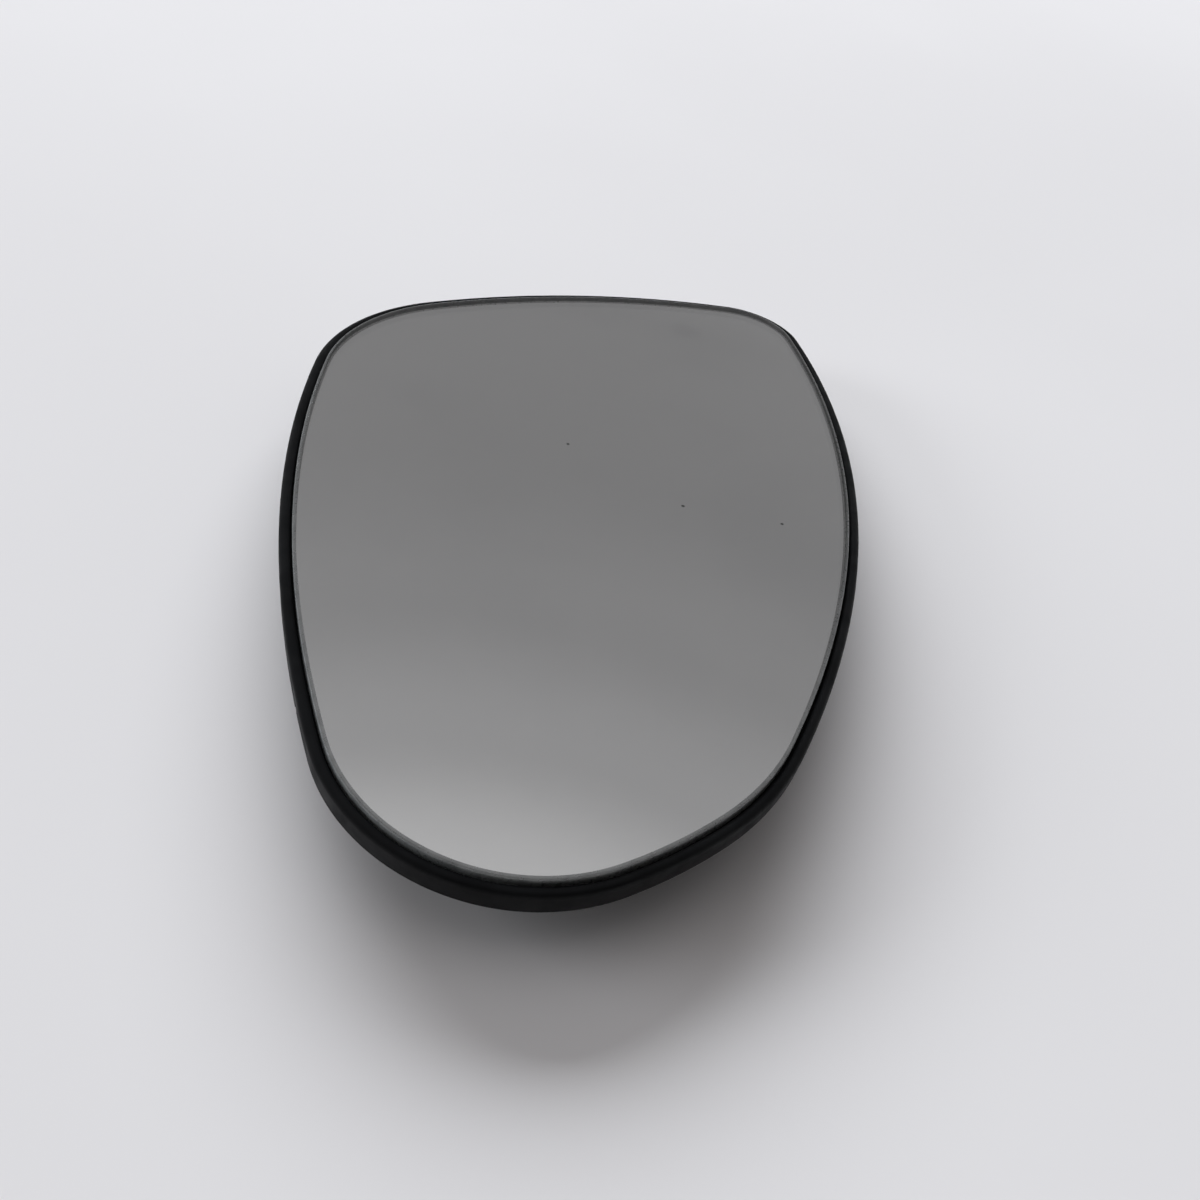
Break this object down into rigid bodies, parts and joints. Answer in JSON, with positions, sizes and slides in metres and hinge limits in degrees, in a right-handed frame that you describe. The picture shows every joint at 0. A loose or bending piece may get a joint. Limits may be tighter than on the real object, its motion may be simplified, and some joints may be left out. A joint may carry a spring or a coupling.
{
  "type": "car door mirror glass",
  "caption": "Convex door mirror glass with a ground edge, bonded into a moulded backing plate with a rolled rim, ribs and a round clip ring of spring fingers.",
  "frame": {"origin": "centre of the clip ring in the plane of its foot", "axes": "+Z out of the mirror face, +X along the glass to its rounded outboard end, +Y to its upper edge"},
  "size_m": [0.1686, 0.1118, 0.0163],
  "materials": {
    "mirror_face": "silvered convex glass, plain face with a ground edge",
    "bonding_layer": "matt black adhesive layer",
    "black_moulding": "fine satin grain"
  },
  "bodies": {
    "root": {"mirror_glass": "mirror_face", "bonding_pad": "bonding_layer", "backing_plate": "black_moulding"}
  },
  "joints": []
}
